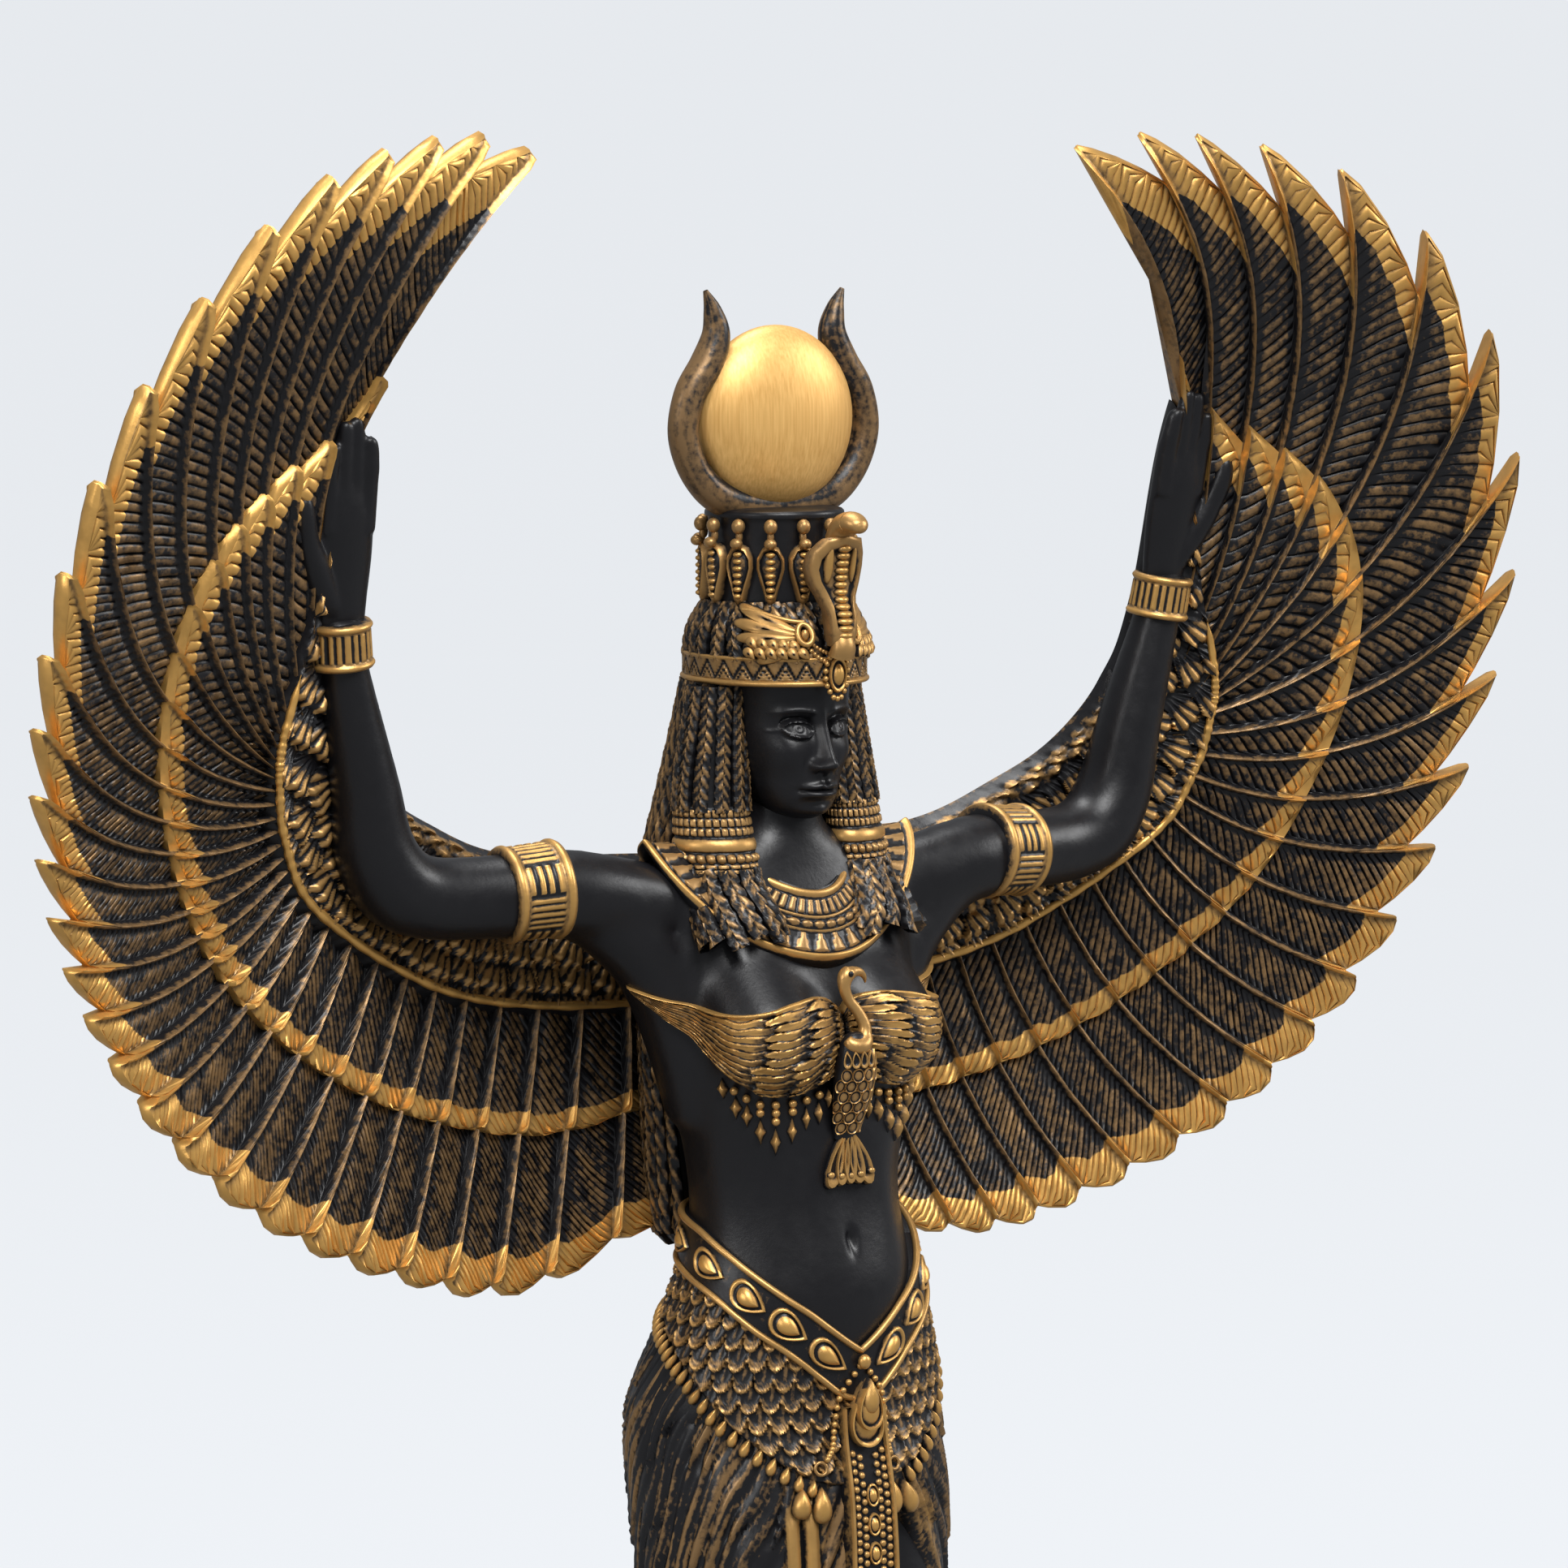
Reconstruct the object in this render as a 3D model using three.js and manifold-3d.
// A cast figure of a winged goddess in black and gold, standing on a low plinth.
// Millimetres, +Z up. The figure faces -Y. The origin is the middle of the plinth's underside.
import * as THREE from "three";
import { mergeVertices } from "three/addons/utils/BufferGeometryUtils.js";
import Module from "manifold-3d";

const wasm = await Module();
wasm.setup();

// Driving dimensions
const PLINTH = { width: 96, depth: 74, height: 10, corner: 24, chamfer: 2.2, band: 5.4 };
const SEAT_GAP = 0.3;
const FOOT_Z = PLINTH.height + SEAT_GAP;
const HEAD_HEIGHT = 28;
const CHIN_Z = 210.6;
const HEAD_Y = 3;
const SHOULDER = { x: 22, y: 2.6, z: 203.4 };
const ELBOW = { x: 60, y: 6.4, z: 205 };
const WRIST = { x: 69.4, y: 4, z: 237.6 };
const FINGERTIP_Z = 267.5;
const BELT_POINT_Z = 138;
const HEM_Z = 17;
const DISC = { radius: 12.7, z: 265.3, thickness: 0.42 };

// Each wing is a dished sheet. Behind the head's axis by y at its middle, it runs forward
// outwards and upwards by these slopes, and bends forward by these amounts per square millimetre.
const DISH = { x: 60, z: 220, y: 10.7, out: -0.232, up: -0.148 };
const DISH_BEND = { out: -0.00251, up: -0.00274, twist: -0.00017 };
const DISH_FLARE = { out: 1.08e-5, up: 1.41e-5, outUp: 4.8e-6, upOut: -1.73e-5 };
const HAND_SEAT = { x: 69, z: 262, depth: 3, reach: 13 };
const WING_THICKNESS = 3;
const SHAFT_RISE = 1;
const COVERT_STEP = 1;
const LEFT_FEATHERS = 25;
const RIGHT_FEATHERS = 29;

const point = (x, y, z) => new THREE.Vector3(x, y, z);
const mix = THREE.MathUtils.lerp;
const ease = THREE.MathUtils.smoothstep;
const range = (count) => Array.from({ length: count }, (_, i) => i);
const around = (sides) => range(sides).map((i) => (i / sides) * 2 * Math.PI);
const fromFront = (turn) => Math.abs(Math.atan2(Math.sin(turn), Math.cos(turn)));

// Solids

// Turns a closed geometry into a solid that faces out.
function solidOf(geometry) {
  geometry.deleteAttribute("normal");
  geometry.deleteAttribute("uv");
  const merged = mergeVertices(geometry, 1e-4);
  const vertProperties = merged.attributes.position.array;
  const corners = merged.index.array;
  const kept = [];
  for (let i = 0; i < corners.length; i += 3) {
    const [a, b, c] = [corners[i], corners[i + 1], corners[i + 2]];
    if (a !== b && b !== c && c !== a) kept.push([a, b, c]);
  }
  const make = (faces) => {
    const triVerts = new Uint32Array(faces.flat());
    return new wasm.Manifold(new wasm.Mesh({ numProp: 3, vertProperties, triVerts }));
  };
  const made = make(kept);
  return made.volume() > 0 ? made : make(kept.map(([a, b, c]) => [a, c, b]));
}

function solidFrom(triangles) {
  const open = new THREE.BufferGeometry();
  const numbers = triangles.flat().flatMap((p) => [p.x, p.y, p.z]);
  open.setAttribute("position", new THREE.Float32BufferAttribute(numbers, 3));
  return solidOf(open);
}

const mirrored = (solid) => solid.mirror([1, 0, 0]);
const bothSides = (solid) => [solid, mirrored(solid)];
const joined = (solids) => solids.reduce((all, next) => all.add(next));

// The outermost body of a solid, without the sealed pockets between its joined pieces.
const outermost = (solid) =>
  solid.decompose().reduce((most, next) => (next.volume() > most.volume() ? next : most));

// The skin between neighbouring closed rings of equal count.
function skin(rings) {
  const triangles = [];
  const count = rings[0].length;
  for (let r = 0; r + 1 < rings.length; r += 1) {
    for (let i = 0; i < count; i += 1) {
      const j = (i + 1) % count;
      triangles.push([rings[r][i], rings[r][j], rings[r + 1][j]]);
      triangles.push([rings[r][i], rings[r + 1][j], rings[r + 1][i]]);
    }
  }
  return triangles;
}

// A closed solid through rings, with a fan over each end.
function loft(rings) {
  const triangles = skin(rings);
  const count = rings[0].length;
  const middle = (ring) =>
    ring.reduce((sum, p) => sum.clone().add(p), point(0, 0, 0)).divideScalar(count);
  const [first, last] = [rings[0], rings[rings.length - 1]];
  const [low, high] = [middle(first), middle(last)];
  for (let i = 0; i < count; i += 1) {
    const j = (i + 1) % count;
    triangles.push([low, first[j], first[i]]);
    triangles.push([high, last[i], last[j]]);
  }
  return solidFrom(triangles);
}

// A closed band: sectionAt gives the points of its cross-section at each turn, 0 in front.
function band(sides, sectionAt) {
  const rings = around(sides).map(sectionAt);
  return solidFrom(skin([...rings, rings[0]]));
}

// A level ring of half width a and half depth b, turned by an angle, with every other point
// drawn in by a flute.
function levelRing({ z, a, b, x = 0, y = 0, turned = 0 }, sides, flute = 0) {
  const upright = point(0, 0, 1);
  return around(sides).map((turn, i) => {
    const inset = i % 2 ? flute : 0;
    return point((a - inset) * Math.sin(turn), -(b - inset) * Math.cos(turn), 0)
      .applyAxisAngle(upright, turned)
      .add(point(x, y, z));
  });
}

const column = (sections, sides, flute) =>
  loft(sections.map((section) => levelRing(section, sides, flute)));

// A limb along stations [x, y, z, radius]; flat is its depth over its width.
function limb(stations, sides = 8, flat = 1) {
  const path = new THREE.CatmullRomCurve3(stations.map(([x, y, z]) => point(x, y, z)));
  const rings = stations.map(([x, y, z, radius], k) => {
    const along = path.getTangent(k / (stations.length - 1));
    const across = point(0, 1, 0).cross(along).normalize();
    const deep = along.clone().cross(across);
    return around(sides).map((turn) =>
      point(x, y, z)
        .addScaledVector(across, radius * Math.cos(turn))
        .addScaledVector(deep, radius * flat * Math.sin(turn)),
    );
  });
  return loft(rings);
}

function ball({ x, y, z }, radius, stretch, detail) {
  const shape = new THREE.SphereGeometry(radius, ...detail);
  shape.rotateX(Math.PI / 2).scale(...stretch).translate(x, y, z);
  return solidOf(shape);
}

// A smooth value through knots of [place, value].
function through(knots, at) {
  let k = 0;
  while (k + 2 < knots.length && at > knots[k + 1][0]) k += 1;
  const knot = (i) => knots[Math.min(Math.max(i, 0), knots.length - 1)];
  const [p0, p1, p2, p3] = [knot(k - 1), knot(k), knot(k + 1), knot(k + 2)];
  const span = p2[0] - p1[0];
  const share = (at - p1[0]) / span;
  const slope = (a, b) => (b[0] === a[0] ? 0 : ((b[1] - a[1]) / (b[0] - a[0])) * span);
  const [m1, m2] = [slope(p0, p2), slope(p1, p3)];
  const [s2, s3] = [share * share, share * share * share];
  const start = (2 * s3 - 3 * s2 + 1) * p1[1] + (s3 - 2 * s2 + share) * m1;
  return start + (3 * s2 - 2 * s3) * p2[1] + (s3 - s2) * m2;
}

// A plane curve through knots [place, x, z].
const curve = (knots) => (at) => [
  through(knots.map(([place, x]) => [place, x]), at),
  through(knots.map(([place, , z]) => [place, z]), at),
];

// Wings, drawn for the figure's left: place 0 is the highest feather, 1 is behind the waist
const featherRoot = curve([
  [0, 71.5, 260], [0.04, 75.5, 241], [0.1, 78.6, 230], [0.2, 80, 224.5], [0.35, 80, 220],
  [0.5, 78.5, 212],
  [0.65, 72.1, 201.7], [0.8, 50.2, 188.9], [0.9, 31.6, 184.4], [1, 8, 183],
]);
const featherTip = curve([
  [0, 44.8, 301.4], [0.05, 58.2, 303.7], [0.15, 84.6, 298], [0.25, 105.8, 281.1],
  [0.35, 118.8, 257.2], [0.45, 122.3, 230.3], [0.55, 116.9, 203.6], [0.65, 102.8, 180.4],
  [0.75, 81.9, 162.9], [0.85, 57, 151.8], [0.93, 35.5, 148.3], [1, 8, 156],
]);
const leadingEdge = curve([
  [0, 69, 265], [0.1, 67, 238], [0.35, 63.5, 224.5], [0.5, 57.5, 216.5], [0.65, 49, 211],
  [0.8, 35, 205.5], [1, 8, 203.5],
]);
const leftSpread = [[0, 0], [4, 0.14], [8, 0.413], [12, 0.612], [16, 0.754], [20, 0.88], [25, 1]];
const rightSpread = [[0, 0], [4, 0.142], [9, 0.375], [13, 0.51], [18, 0.65], [22, 0.775], [29, 1]];
const bowKnots = [[0, 0.08], [0.06, 0.13], [0.2, 0.14], [0.4, 0.13], [0.6, 0.09], [0.85, 0.04], [1, 0.03]];
const covertKnots = [[0, 0.27], [0.08, 0.38], [0.5, 0.41], [1, 0.46]];
const covertShare = (t) => through(covertKnots, t);

// The plane place on feather line t, share s of the way from its root to its tip.
function featherLine(t, s) {
  const [root, tip] = [featherRoot(t), featherTip(t)];
  const [dx, dz] = [tip[0] - root[0], tip[1] - root[1]];
  const bow = 4 * through(bowKnots, t) * s * (1 - s);
  return [root[0] + dx * s + dz * bow, root[1] + dz * s - dx * bow];
}

// A plane place put on the dish, then lifted towards the front.
function onDish([px, pz], rise) {
  const [x, z] = [px - DISH.x, pz - DISH.z];
  const [bend, flare, seat] = [DISH_BEND, DISH_FLARE, HAND_SEAT];
  const fromSeat = Math.hypot(px - seat.x, pz - seat.z) / seat.reach;
  const y =
    DISH.y + DISH.out * x + DISH.up * z + seat.depth * Math.exp(-(fromSeat ** 2) / 2) +
    bend.out * x * x + bend.up * z * z + bend.twist * x * z +
    flare.out * x ** 3 + flare.up * z ** 3 + flare.outUp * x * x * z + flare.upOut * x * z * z;
  const slopeX = DISH.out + 2 * bend.out * x + bend.twist * z;
  const slopeZ = DISH.up + 2 * bend.up * z + bend.twist * x;
  return point(px, y, pz).addScaledVector(point(slopeX, -1, slopeZ).normalize(), rise);
}

// How far out a vane reaches at share f of its width: pointed above, scalloped below.
function vaneReach(t, f) {
  const pointed = -0.14 * f ** 1.2;
  const scalloped = 0.05 * Math.sin(Math.PI * f ** 0.8) - 0.03;
  return 1 + mix(pointed, scalloped, ease(t, 0.45, 0.72));
}

// Fills the strip between two rows of [place, point], whatever their counts.
function strip(lower, upper) {
  const triangles = [];
  let [i, j] = [0, 0];
  while (i + 1 < lower.length || j + 1 < upper.length) {
    const [nextLow, nextUp] = [lower[i + 1], upper[j + 1]];
    if (nextLow && (!nextUp || nextLow[0] <= nextUp[0])) {
      triangles.push([lower[i][1], nextLow[1], upper[j][1]]);
      i += 1;
    } else {
      triangles.push([lower[i][1], nextUp[1], upper[j][1]]);
      j += 1;
    }
  }
  return triangles;
}

// One wing: a closed sheet whose front steps down from each shaft to the next feather.
function wing(feathers, spread) {
  const columnAt = (place, f, lift) => ({ t: through(spread, place), f, lift });
  const end = columnAt(feathers, 1, 0.4);
  const shafts = range(feathers).map((k) => columnAt(k, 0, 1));
  const vanes = shafts.flatMap((shaft, k) => [shaft, columnAt(k + 0.86, 0.86, -0.3)]);
  const fine = [...vanes, end];
  const coarse = [...shafts.filter((_, k) => k % 2 === 0), end];
  const onLine = (columns, shareAt, rise, shaft, reach = 0) =>
    columns.map(({ t, f, lift }) => {
      const share = shareAt(t) * mix(1, vaneReach(t, f), reach);
      return [t, onDish(featherLine(t, share), rise + shaft * lift)];
    });
  const onArm = (columns, share, rise) =>
    columns.map(({ t }) => {
      const [root, edge] = [featherRoot(t), leadingEdge(t)];
      return [t, onDish([mix(root[0], edge[0], share), mix(root[1], edge[1], share)], rise)];
    });
  const back = -WING_THICKNESS;
  const rows = [
    onArm(coarse, 1, -0.4),
    onArm(coarse, 0.5, 1.4),
    onArm(coarse, 0.12, 0.9),
    onArm(coarse, 0.02, 1.9),
    onLine(fine, () => 0.02, 0.5, SHAFT_RISE),
    onLine(fine, covertShare, COVERT_STEP, SHAFT_RISE, 0.8),
    onLine(fine, (t) => covertShare(t) + 0.02, -0.5, SHAFT_RISE, 0.3),
    onLine(fine, () => 0.72, -0.3, SHAFT_RISE),
    onLine(fine, () => 1, -0.3, SHAFT_RISE, 1),
    onLine(fine, () => 1, back, 0, 1),
    onLine(coarse, () => 0.75, back, 0),
    onLine(coarse, () => 0.35, back, 0),
    onArm(coarse, 0.2, back),
    onArm(coarse, 1, back),
  ];
  const loop = [...rows, rows[0]];
  const triangles = range(rows.length).flatMap((k) => strip(loop[k], loop[k + 1]));
  const [start, stop] = [0, -1].map((side) => rows.map((row) => row.at(side)[1]));
  for (let k = 1; k + 1 < rows.length; k += 1) {
    triangles.push([start[0], start[k], start[k + 1]]);
    triangles.push([stop[0], stop[k + 1], stop[k]]);
  }
  return solidFrom(triangles);
}

// Body: half width, half depth and middle of the figure at each level
const BODY = [
  { z: 17, a: 17.5, b: 15.5, y: -0.5 },
  { z: 35, a: 17.2, b: 14.8, y: -0.3 },
  { z: 62, a: 19, b: 15.6, y: -0.8 },
  { z: 85, a: 21.8, b: 17, y: -1.2 },
  { z: 105, a: 23.5, b: 18, y: -1.2 },
  { z: 118, a: 24, b: 18.3, y: -0.2 },
  { z: 128, a: 23.6, b: 17.8, y: 1.2 },
  { z: 137, a: 21.3, b: 16, y: -0.2 },
  { z: 146, a: 18, b: 14, y: -2.2 },
  { z: 152, a: 16.4, b: 12.9, y: -2.3 },
  { z: 159, a: 15.8, b: 12.1, y: -1.8 },
  { z: 167, a: 16.8, b: 12.2, y: -1.2 },
  { z: 176, a: 18.4, b: 12.2, y: -0.6 },
  { z: 185, a: 19.4, b: 11.6, y: 0.4 },
  { z: 193, a: 20.4, b: 10.4, y: 1.2 },
  { z: 199, a: 21, b: 8.8, y: 2 },
  { z: 203.5, a: 19, b: 7.4, y: 2.5 },
  { z: 206.8, a: 12, b: 6.8, y: 2.7 },
  { z: 209.4, a: 6.9, b: 6.4, y: 2.8 },
  { z: 215, a: 6.2, b: 6.2, y: 2.6 },
];

// The place on the body at a turn from the front and a level, lifted off it.
function onBody(turn, z, lift = 0) {
  const [a, b, y] = ["a", "b", "y"].map((key) => through(BODY.map((s) => [s.z, s[key]]), z));
  return point((a + lift) * Math.sin(turn), y - (b + lift) * Math.cos(turn), z);
}

const torso = () => column(BODY.filter((s) => s.z >= 137), 18);

// The belt dips to a point in front, and a scaled apron hangs below it
function girdle() {
  const top = (turn) => BELT_POINT_Z + 13.5 * Math.min(1, fromFront(turn) / 1.7) ** 0.9;
  const bottom = (turn) => top(turn) - mix(6, 4, Math.min(1, fromFront(turn)));
  const hem = (turn) => 118 + 24 * Math.min(1, fromFront(turn) / 2.4) ** 1.4;
  const [belt, apron, sunk] = [1.3, 0.8, -1.5];
  return band(28, (turn) => [
    onBody(turn, hem(turn), sunk), onBody(turn, hem(turn), apron),
    onBody(turn, bottom(turn) - 0.4, apron), onBody(turn, bottom(turn), belt),
    onBody(turn, top(turn), belt), onBody(turn, top(turn), sunk),
  ]);
}

// The skirt: pleats run down it, and it opens in front of the left leg
function skirt() {
  const levels = [FOOT_Z + 1.5, HEM_Z, 40, 65, 90, 106, 120, 134];
  const pleat = 0.9;
  const rings = levels.map((z) =>
    around(32).map((turn, i) => {
      const fold = (i % 2 ? pleat / 2 : -pleat / 2) * ease(fromFront(turn), 0.3, 0.9);
      const open = ease(turn, 0.22, 0.34) * (1 - ease(turn, 0.72, 0.84));
      const lift = fold * (1 - ease(z, 118, 134)) - 5.2 * open * (1 - ease(z, 96, 122));
      return onBody(turn, Math.max(z, HEM_Z), lift).setZ(z);
    }),
  );
  return loft(rings);
}

function foot(x, toe) {
  const slices = [
    { y: 2, half: 3.4, top: 9 }, { y: -9, half: 4.2, top: 7.5 },
    { y: toe + 4, half: 4.8, top: 4.2 }, { y: toe, half: 3.4, top: 2.4 },
  ];
  const outline = [[-1, 0], [1, 0], [1, 0.45], [0.55, 1], [-0.55, 1], [-1, 0.45]];
  return loft(slices.map(({ y, half, top }) =>
    outline.map(([side, up]) => point(x + side * half, y, FOOT_Z + up * top)),
  ));
}

function legsAndFeet() {
  const leg = limb([
    [9, -4, 122, 9], [9.3, -9, 100, 9], [9.4, -10, 80, 8.4], [9, -10.4, 62, 7.2],
    [8.8, -8.6, 44, 6.8], [8.4, -6.4, 26, 4.6], [8.2, -6, 15, 4],
  ], 8);
  const sole = column([
    { z: FOOT_Z, a: 15.5, b: 12.5, y: 1 }, { z: FOOT_Z + 3, a: 15, b: 12, y: 1 },
  ], 16);
  return [leg, foot(8.2, -26), foot(-8, -23), sole];
}

// The beaded sash hangs from the point of the belt down the middle
function sash() {
  const levels = [24, 40, 62, 85, 105, 118, 132];
  const rings = levels.map((z, k) => {
    const half = mix(5.2, 3.6, k / (levels.length - 1));
    const front = onBody(0, z, 1.9).y;
    const outline = [[-half, 4], [-half, 0.5], [-half * 0.6, 0], [half * 0.6, 0], [half, 0.5], [half, 4]];
    return outline.map(([x, depth]) => point(x, front + depth, z));
  });
  return [loft(rings), ball(onBody(0, 129, 2), 2.6, [1, 0.7, 2.1], [8, 6])];
}

// The halter top: a spread wing over each breast and a bird's body between them
function birdTop() {
  const cup = ball({ x: 9.4, y: -9.2, z: 181.8 }, 8.3, [1.05, 0.95, 0.88], [10, 6]);
  const wingTip = limb([[13, -9, 184, 3.6], [18, -5, 186, 2.6], [20.6, 0, 187.5, 1.2]], 6, 0.6);
  const onChest = (z, lift) => onBody(0, z, lift).y;
  const bird = limb([
    [0, onChest(162, 0.4), 162, 2.6], [0, onChest(168, 0.8), 168, 2.2],
    [0, onChest(174, 1.8), 174, 3], [0, onChest(180, 2.4), 180, 3],
    [0, onChest(184, 2.2), 184, 1.7], [0, onChest(188, 1.8), 188.4, 1.6],
    [2.8, onChest(187, 1.8), 186.8, 0.6],
  ], 7, 0.7);
  return [...bothSides(cup), ...bothSides(wingTip), bird];
}

// The broad collar lies from the neck over the shoulders and dips in front
function collar() {
  const outer = (turn, lift) => {
    const [ahead, behind] = [Math.max(0, Math.cos(turn)), Math.max(0, -Math.cos(turn))];
    const depth = ahead ? 11.4 : 8.4;
    const z = 205.2 - 14.2 * ahead ** 1.3 - 5 * behind;
    return point(22 * Math.sin(turn), 2.4 - (depth + lift) * Math.cos(turn), z + lift);
  };
  const inner = (turn, lift) =>
    point(6.6 * Math.sin(turn), 2.8 - 6.8 * Math.cos(turn), 208.4 - 2 * Math.cos(turn) + lift);
  return band(20, (turn) => [
    inner(turn, -3), inner(turn, 0.6),
    inner(turn, 0.8).lerp(outer(turn, 0.8), 0.5).add(point(0, 0, 0.2)),
    outer(turn, 0.9), outer(turn, -2.2),
  ]);
}

// Arms: raised, the forearms upright, each hand laid on its wing
function arm() {
  const { x: sx, y: sy, z: sz } = SHOULDER;
  const { x: ex, y: ey, z: ez } = ELBOW;
  const { x: wx, y: wy, z: wz } = WRIST;
  const flesh = limb([
    [8, sy + 0.4, sz - 2.4, 7.2], [sx, sy, sz, 7], [sx + 12, sy + 0.6, sz - 0.4, 6.3],
    [ex - 15, ey - 1.6, sz - 1.2, 5.8], [ex - 5, ey - 0.3, sz - 0.6, 5.6], [ex, ey, ez, 6],
    [ex + 3.2, ey, ez + 5.5, 5.5], [wx - 4.6, wy + 1.7, wz - 19, 4.9],
    [wx - 2, wy + 0.8, wz - 9, 4.1], [wx, wy, wz, 3.4], [wx + 0.3, wy - 0.4, wz + 3.6, 3.5],
  ], 9);
  const [ax, az] = [sx + 18, sz - 0.9];
  const armlet = limb([[ax - 4, sy + 0.7, az, 6.9], [ax - 3, sy + 0.8, az, 7.3],
    [ax + 3, sy + 1.5, az, 7.1], [ax + 4, sy + 1.6, az, 6.6]], 9);
  const bracelet = limb([[wx - 0.4, wy + 0.4, wz - 3.1, 4.3], [wx - 0.3, wy + 0.3, wz - 2.6, 4.6],
    [wx + 0.2, wy - 0.2, wz + 2.6, 4.5], [wx + 0.2, wy - 0.3, wz + 3.1, 4.2]], 9);
  return joined([flesh, armlet, bracelet]);
}

function hand() {
  const { x, y, z } = WRIST;
  const knuckle = z + 19;
  const palm = limb([
    [x, y - 0.2, z + 2, 3.4], [x + 0.3, y - 0.8, z + 7, 3.8], [x + 0.9, y - 1.8, z + 13, 4],
    [x + 1.7, y - 3.2, knuckle, 3.9], [x + 1.9, y - 3.6, knuckle + 1.4, 3.2],
  ], 8, 0.6);
  const finger = (side, tip) => limb([
    [x + 1.6 + side, y - 2.6, knuckle - 3, 1.25],
    [x + 2.2 + side, y - 4.4, mix(knuckle, tip, 0.5), 1.2], [x + 2.6 + side * 0.8, y - 5.6, tip, 0.6],
  ], 4);
  const fingers = [
    finger(-2.9, FINGERTIP_Z - 3), finger(-1, FINGERTIP_Z),
    finger(1, FINGERTIP_Z - 1), finger(2.9, FINGERTIP_Z - 4),
  ];
  const thumb = limb([
    [x + 2.2, y - 0.8, z + 6, 2], [x + 5.4, y - 2.4, z + 11, 1.7], [x + 7.8, y - 4.4, z + 16, 1.4],
    [x + 8.4, y - 5.2, z + 20, 0.6],
  ], 6);
  return joined([palm, thumb, ...fingers]);
}

// Head: a level ring at each height, with the features raised on its front
function head() {
  const levels = [
    { up: 0, a: 2.8, b: 3, y: -3.4 }, { up: 0.06, a: 4.8, b: 6, y: -1.2 },
    { up: 0.15, a: 6.4, b: 8, y: 0 }, { up: 0.22, a: 7.1, b: 8.9, y: 0.8 },
    { up: 0.29, a: 7.7, b: 9.4, y: 1.1 }, { up: 0.34, a: 8, b: 9.9, y: 1.4 },
    { up: 0.42, a: 8.4, b: 10.4, y: 1.8 }, { up: 0.5, a: 8.6, b: 10.8, y: 2.3 },
    { up: 0.58, a: 8.8, b: 11.5, y: 2.7 }, { up: 0.75, a: 9.1, b: 12, y: 3.1 },
    { up: 0.93, a: 6.4, b: 8.4, y: 3.2 },
  ];
  const noseAt = (up) => 2.6 * Math.max(0, 1 - Math.abs(up - 0.35) / (up < 0.35 ? 0.05 : 0.22));
  const rings = levels.map(({ up, a, b, y }) =>
    around(18).map((turn) => {
      const front = fromFront(turn);
      const nose = front < 0.1 ? noseAt(up) : 0;
      const socket = up === 0.5 && front > 0.2 && front < 0.7 ? 0.9 : 0;
      const lips = up === 0.22 && front < 0.4 ? 0.6 : 0;
      const depth = b + nose + lips - socket;
      return point(a * Math.sin(turn), y - depth * Math.cos(turn), CHIN_Z + up * HEAD_HEIGHT);
    }),
  );
  return loft(rings);
}

// Hair: a braided wig round the face, two cuffed lappets in front and a long fall behind
function hair() {
  const cap = column([
    { z: 226, a: 10.8, b: 12.8, y: HEAD_Y }, { z: 233, a: 11.2, b: 13.3, y: HEAD_Y },
    { z: 237, a: 10.9, b: 12.4, y: HEAD_Y }, { z: 241, a: 8.6, b: 8.8, y: HEAD_Y },
  ], 16, 0.7);
  const behind = column([
    { z: 149, a: 9, b: 2.4, y: 12.6 }, { z: 153, a: 14, b: 4.4, y: 11.8 },
    { z: 190, a: 16.4, b: 5.4, y: 11.6 }, { z: 204, a: 16.6, b: 7.8, y: 10 },
    { z: 214, a: 14.6, b: 8.6, y: 8.4 }, { z: 230, a: 11.2, b: 10, y: 5.8 },
  ], 16, 0.8);
  const lappet = column([
    { z: 191.8, a: 5, b: 1.6, x: 12, y: -8.2, turned: 0.2 },
    { z: 193, a: 6.4, b: 2.6, x: 12, y: -8, turned: 0.2 },
    { z: 198, a: 5.8, b: 2.8, x: 12.2, y: -5, turned: 0.4 },
    { z: 203, a: 5.2, b: 3.2, x: 12, y: -1, turned: 0.6 },
    { z: 213, a: 5, b: 3.2, x: 11.8, y: 1.4, turned: 0.6 },
    { z: 229, a: 3.8, b: 3, x: 9.8, y: 2.6, turned: 0.6 },
  ], 10, 0.5);
  const cuff = column([
    { z: 203.4, a: 5.4, b: 3.4, x: 12, y: -0.6, turned: 0.6 },
    { z: 204, a: 5.9, b: 3.9, x: 12, y: -0.4, turned: 0.6 },
    { z: 211.8, a: 5.5, b: 3.7, x: 11.9, y: 1.3, turned: 0.6 },
    { z: 212.4, a: 5, b: 3.2, x: 11.9, y: 1.4, turned: 0.6 },
  ], 10);
  return [cap, behind, ...bothSides(lappet), ...bothSides(cuff)];
}

// Crown: a diadem with vulture wings over it, a ring of cobras, a disc between two horns
function diadem() {
  const [low, high] = [229, 233.2];
  const strap = band(20, (turn) => [[0.9, low], [0.9, high], [-2, high], [-2, low]].map(([out, z]) =>
    point((11.5 + out) * Math.sin(turn), HEAD_Y - (13.6 + out) * Math.cos(turn), z),
  ));
  const jewel = ball({ x: 0, y: HEAD_Y - 14.6, z: 230 }, 2, [1, 0.6, 1.6], [7, 5]);
  const vultureWing = limb([
    [0, -10.4, 234.4, 2.4], [5.6, -8.8, 236.8, 2.3], [9.6, -4.6, 239, 1.9], [11.4, 0.6, 240, 0.7],
  ], 6, 0.6);
  return [strap, jewel, ...bothSides(vultureWing)];
}

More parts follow.
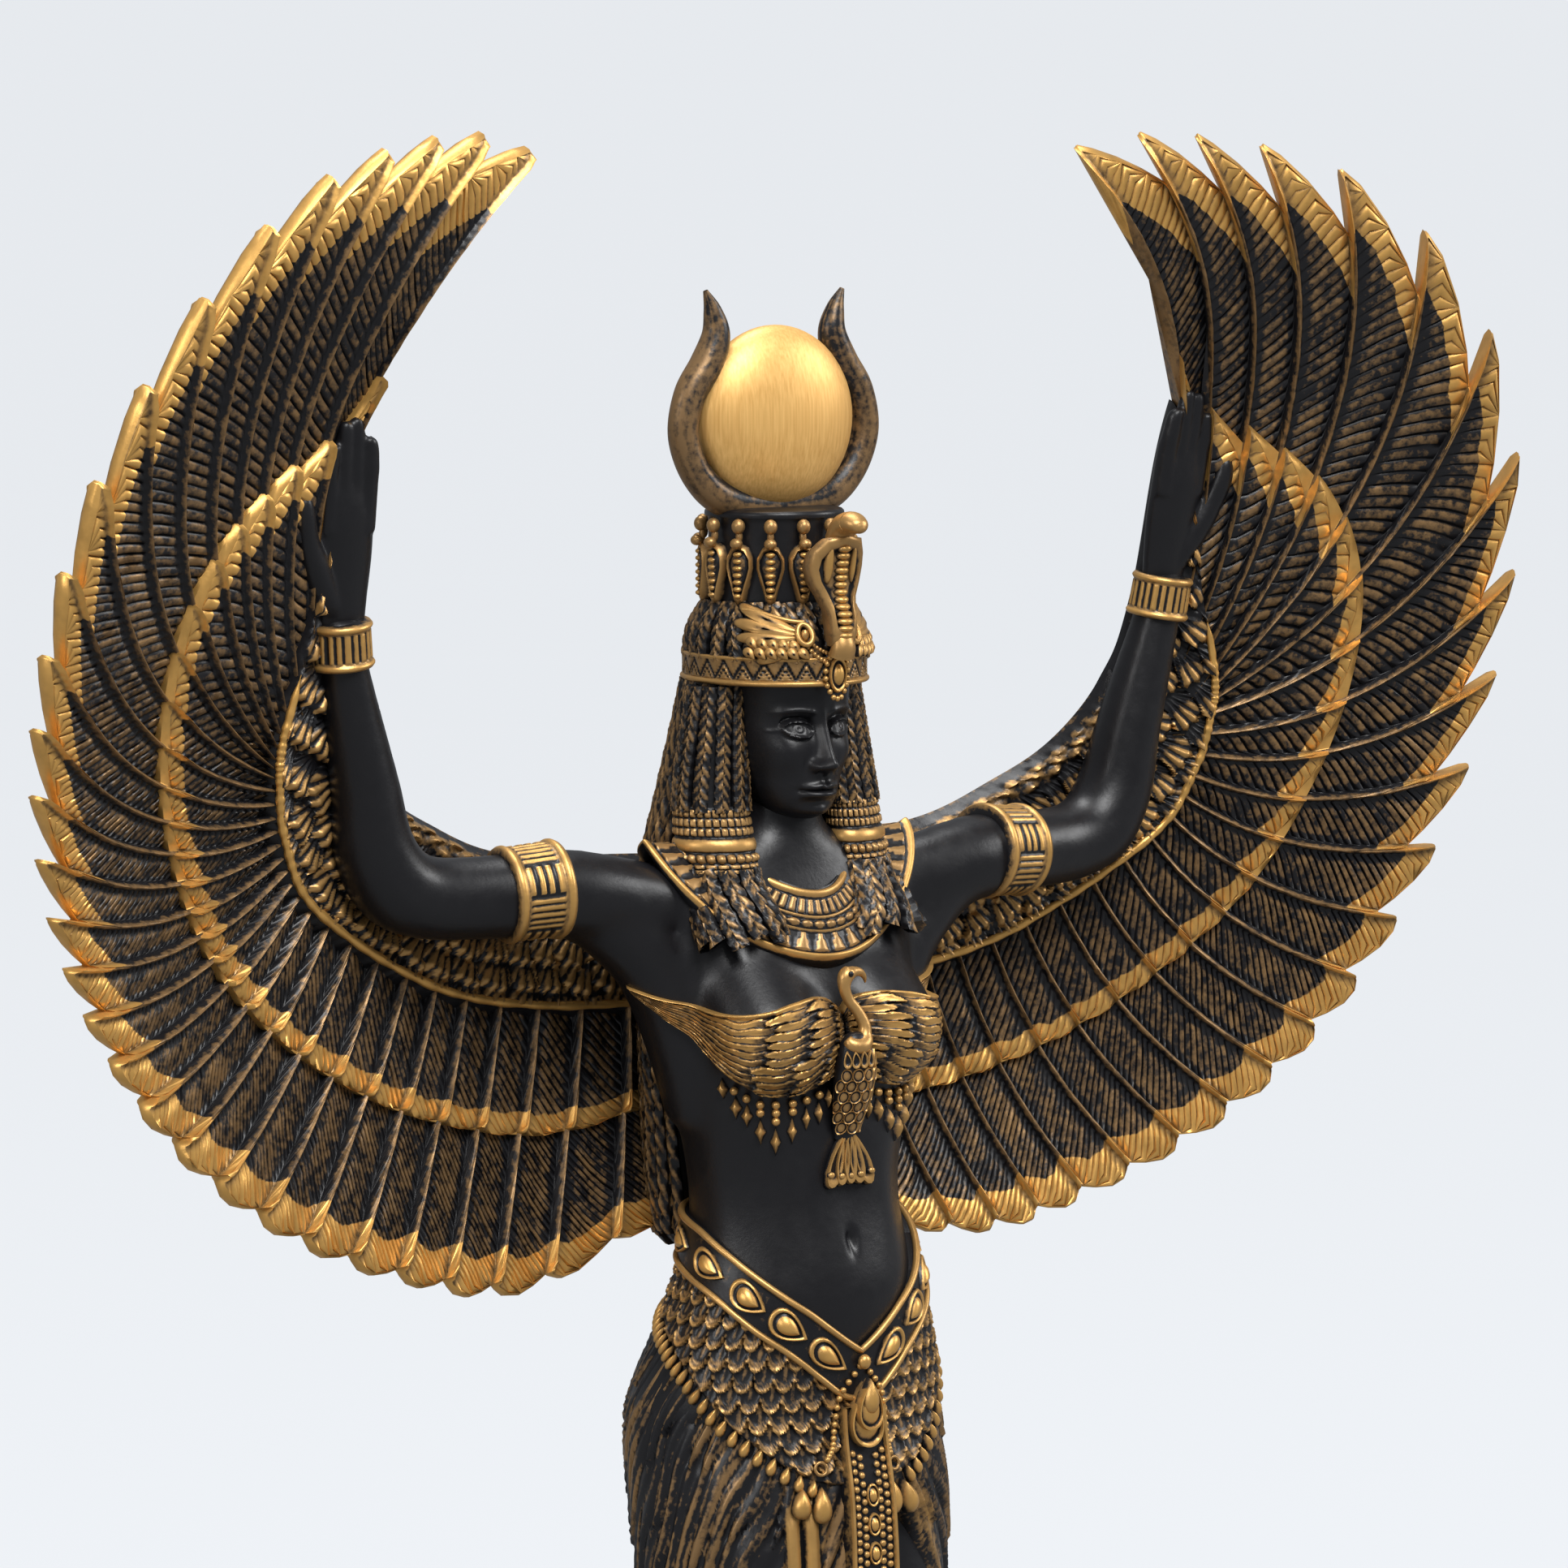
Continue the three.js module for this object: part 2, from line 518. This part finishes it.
// Fourteen cobras stand side by side: their hoods and the discs on their heads swell outwards
function cobraRing() {
  const count = 14;
  const profile = [[239.8, 9], [244.8, 11.4], [247.8, 10], [250.2, 11.2], [252, 9]];
  const ring = loft(profile.map(([z, out]) =>
    around(2 * count).map((turn, i) => {
      const radius = i % 2 ? Math.min(out, 9.4) : out;
      return point(radius * Math.sin(turn), HEAD_Y - radius * Math.cos(turn), z);
    }),
  ));
  const rearing = limb([
    [0, -11.2, 233.6, 1.6], [0, -12.2, 237, 1.5], [0, -10.2, 240.4, 2], [0, -10.8, 244.6, 2.7],
    [0, -12.2, 249, 2], [0, -14, 251.4, 1.6], [0, -17, 250.8, 0.8],
  ], 7);
  return [ring, rearing];
}

function hornsAndDisc() {
  const sun = ball({ x: 0, y: HEAD_Y, z: DISC.z }, DISC.radius, [1, DISC.thickness, 1], [16, 8]);
  const horn = limb([
    [-2, HEAD_Y, 252.9, 2.3], [7.5, HEAD_Y, 254, 2.4], [12.6, HEAD_Y, 257.4, 2.2],
    [15.2, HEAD_Y, 263, 2.1], [14.2, HEAD_Y, 268.6, 2.2], [11.4, HEAD_Y, 272.8, 2.3],
    [9.8, HEAD_Y, 276.6, 2], [10.3, HEAD_Y, 280, 1.3], [11.5, HEAD_Y, 282.8, 0.4],
  ], 6);
  return [sun, ...bothSides(horn)];
}

// Plinth: a low block with rounded corners, a raised band round it and an eased top edge
function plinth() {
  const { width, depth, height, corner, chamfer, band: bandHeight } = PLINTH;
  const outline = (inset) => {
    const [w, d, r] = [width / 2 - inset, depth / 2 - inset, corner - inset];
    return [[1, -1, 270], [1, 1, 0], [-1, 1, 90], [-1, -1, 180]].flatMap(([sx, sy, from]) =>
      range(6).map((i) => {
        const turn = THREE.MathUtils.degToRad(from + (i / 5) * 90);
        return [sx * (w - r) + r * Math.cos(turn), sy * (d - r) + r * Math.sin(turn)];
      }),
    );
  };
  const foot = (height - bandHeight) / 2 - 0.6;
  const levels = [
    [0, 0], [foot, 0], [foot, 0.8], [foot + bandHeight, 0.8],
    [foot + bandHeight, 0], [foot + bandHeight + 1.2, 0], [height, chamfer],
  ];
  return loft(levels.map(([z, inset]) => outline(inset).map(([x, y]) => point(x, y, z))));
}

// Colours
const BLACK_RESIN = { color: 0x171719, roughness: 0.45, metalness: 0 };
const DARK_PLINTH = { color: 0x1b1a1a, roughness: 0.5, metalness: 0 };

function meshOf(name, solid, look) {
  const { numProp, vertProperties, triVerts } = solid.getMesh();
  const positions = [];
  for (let i = 0; i < vertProperties.length; i += numProp) {
    positions.push(vertProperties[i], vertProperties[i + 1], vertProperties[i + 2]);
  }
  const geometry = new THREE.BufferGeometry();
  geometry.setAttribute("position", new THREE.Float32BufferAttribute(positions, 3));
  geometry.setIndex(new THREE.BufferAttribute(triVerts, 1));
  geometry.computeVertexNormals();
  const mesh = new THREE.Mesh(geometry, new THREE.MeshStandardMaterial(look));
  mesh.name = name;
  return mesh;
}

const figure = outermost(joined([
  wing(LEFT_FEATHERS, leftSpread), mirrored(wing(RIGHT_FEATHERS, rightSpread)),
  torso(), skirt(), ...legsAndFeet(), ...sash(), girdle(), ...birdTop(), collar(),
  ...bothSides(arm()), ...bothSides(hand()),
  head(), ...hair(), ...diadem(), ...cobraRing(), ...hornsAndDisc(),
]));

const statue = new THREE.Group();
statue.name = "isis_statue";
statue.add(meshOf("base", plinth(), DARK_PLINTH));
statue.add(meshOf("isis_figure", figure, BLACK_RESIN));

export default statue;
